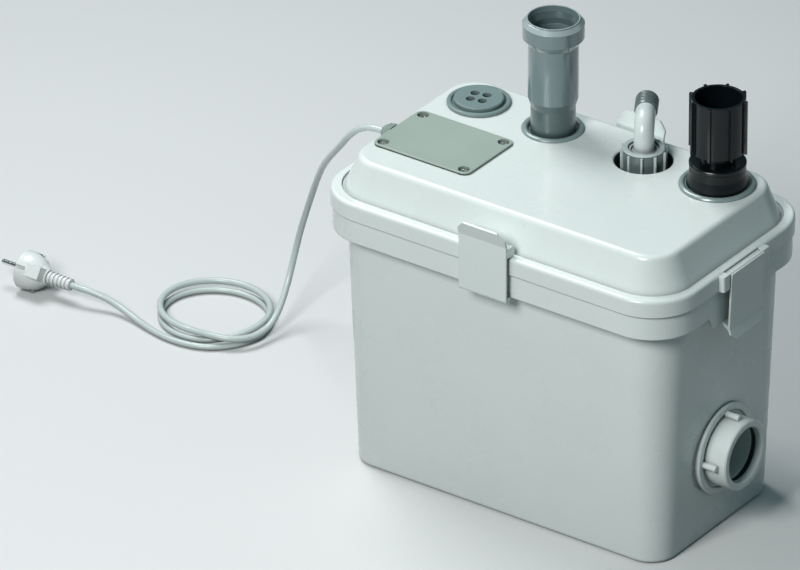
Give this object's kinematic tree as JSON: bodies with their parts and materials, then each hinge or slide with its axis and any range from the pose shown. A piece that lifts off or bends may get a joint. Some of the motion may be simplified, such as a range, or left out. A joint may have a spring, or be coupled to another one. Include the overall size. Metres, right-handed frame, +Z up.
{
  "type": "sewage lifting unit",
  "caption": "Small sewage lifting unit: clipped tank and lid, upright and side pipe inlets, hose elbow, pump and float inside, mains cord with plug.",
  "frame": {"origin": "centre of the tank's underside, on the floor", "axes": "+X along the tank's long side towards the side inlet, +Y to the row of ports, +Z up; -Y is the front"},
  "size_m": [0.8028, 0.2514, 0.4154],
  "materials": {
    "shell": "satin moulded light grey",
    "clip": "satin moulded light grey",
    "cover": "satin grey-green",
    "vent": "satin grey-green",
    "pipe": "satin dark grey",
    "sleeve_black": "gloss black",
    "collar_black": "semi-gloss black rubber",
    "grommet": "grey rubber",
    "seal": "black rubber",
    "elbow_white": "gloss white",
    "tail_grey": "satin dark grey-green",
    "nut": "satin light grey",
    "cord": "satin pale grey sheath",
    "plug": "gloss white",
    "contact": "nickel-plated",
    "steel": "zinc-plated steel",
    "casting": "painted casting",
    "pump_plastic": "dark moulded",
    "impeller": "moulded",
    "iron": "laminated iron",
    "float": "hollow float, stated as solid foam",
    "guide": "moulded",
    "filter": "carbon foam",
    "strip": "moulded terminal strip",
    "capacitor": "moulded can"
  },
  "bodies": {
    "housing": {"tank": "shell", "lid": "shell", "lid_gasket": "seal", "inlet_pipe": "pipe", "inlet_seal": "seal", "inlet_grommet": "grommet", "sleeve": "sleeve_black", "sleeve_collar": "collar_black", "sleeve_grommet": "grommet", "elbow_seal": "seal", "riser_pipe": "pump_plastic", "valve_housing": "pump_plastic", "side_inlet_socket": "shell", "side_inlet_seal": "seal", "side_inlet_gasket": "seal", "side_inlet_nut": "pump_plastic", "terminal_cover": "cover", "cover_gasket": "seal", "cover_screws": "steel", "terminal_block": "strip", "capacitor": "capacitor", "cable_gland": "pump_plastic", "gland_nut": "pump_plastic", "float_guide": "guide", "reed_switch": "strip", "suction_screen": "pump_plastic", "volute": "pump_plastic", "volute_screws": "steel", "motor_housing": "casting", "motor_cover": "casting", "motor_lead": "seal", "stator": "iron", "upper_bearing": "steel", "lower_bearing": "steel", "shaft_seal": "seal", "cord_lead": "cord", "cord_coil": "cord", "cord_tail": "cord", "plug_body": "plug", "plug_pins": "contact", "earth_clips": "contact", "plug_relief": "plug"},
    "front_latch": {"front_latch": "clip"},
    "rear_latch": {"rear_latch": "clip"},
    "left_latch": {"left_latch": "clip"},
    "right_latch": {"right_latch": "clip"},
    "vent_cap": {"vent_cap": "vent", "vent_filter": "filter", "vent_seal": "seal"},
    "union_nut": {"union_nut": "nut"},
    "hose_elbow": {"hose_elbow": "elbow_white", "elbow_spigot": "elbow_white", "hose_tail": "tail_grey"},
    "pump_rotor": {"rotor": "iron", "shaft": "steel", "impeller": "impeller"},
    "float": {"float": "float"},
    "check_flap": {"check_flap": "seal"}
  },
  "joints": [
    {"name": "front_latch_hinge", "type": "hinge", "parent": "housing", "child": "front_latch", "pos_m": [0, -0.1174, 0.2356], "axis": [1, 0, 0], "range_deg": [0, 120]},
    {"name": "rear_latch_hinge", "type": "hinge", "parent": "housing", "child": "rear_latch", "pos_m": [0, 0.1174, 0.2356], "axis": [-1, 0, 0], "range_deg": [0, 120]},
    {"name": "left_latch_hinge", "type": "hinge", "parent": "housing", "child": "left_latch", "pos_m": [-0.1917, 0, 0.2719], "axis": [0, 1, 0], "range_deg": [0, 50]},
    {"name": "right_latch_hinge", "type": "hinge", "parent": "housing", "child": "right_latch", "pos_m": [0.1917, 0, 0.2719], "axis": [0, -1, 0], "range_deg": [0, 110]},
    {"name": "vent_cap_pull", "type": "slide", "parent": "housing", "child": "vent_cap", "axis": [0, 0, 1], "range_m": [0, 0.03]},
    {"name": "union_nut_turn", "type": "hinge", "parent": "housing", "child": "union_nut", "pos_m": [0.0492, 0.053, 0.305], "axis": [0, 0, 1], "range_deg": [0, 360]},
    {"name": "elbow_swivel", "type": "hinge", "parent": "housing", "child": "hose_elbow", "pos_m": [0.0492, 0.053, 0.312], "axis": [0, 0, 1], "continuous": true},
    {"name": "pump_spin", "type": "hinge", "parent": "housing", "child": "pump_rotor", "pos_m": [-0.028, 0.008, 0.15], "axis": [0, 0, 1], "continuous": true},
    {"name": "float_rise", "type": "slide", "parent": "housing", "child": "float", "axis": [0, 0, 1], "range_m": [0, 0.064]},
    {"name": "check_flap_hinge", "type": "hinge", "parent": "housing", "child": "check_flap", "pos_m": [0.0337, 0.053, 0.0866], "axis": [0, -1, 0], "range_deg": [0, 70]}
  ]
}
